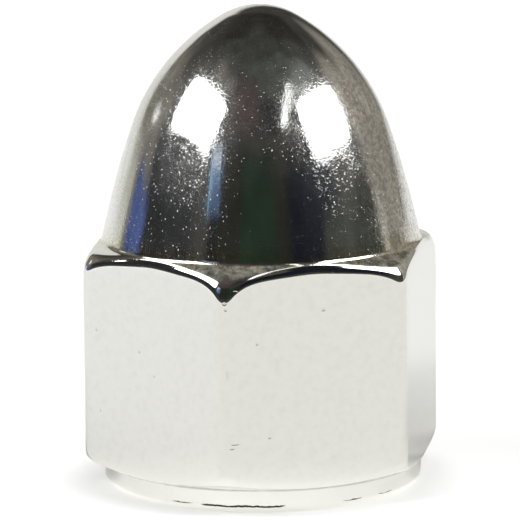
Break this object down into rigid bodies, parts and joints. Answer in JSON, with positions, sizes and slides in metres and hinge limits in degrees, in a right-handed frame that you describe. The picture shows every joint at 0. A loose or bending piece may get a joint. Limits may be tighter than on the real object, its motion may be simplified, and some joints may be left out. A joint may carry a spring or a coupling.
{
  "type": "cap nut",
  "caption": "Chrome-plated high-dome hexagon cap nut, one solid piece with a blind tapped hole and a low round washer face.",
  "frame": {"origin": "centre of the seat face, on the axis of the tapped hole", "axes": "+Z along the axis towards the tip of the dome, with two of the six flats facing +Y and -Y"},
  "size_m": [0.0148, 0.013, 0.0192],
  "materials": {
    "chrome": "polished chrome plate, lightly pitted"
  },
  "bodies": {
    "root": {"cap_nut": "chrome"}
  },
  "joints": []
}
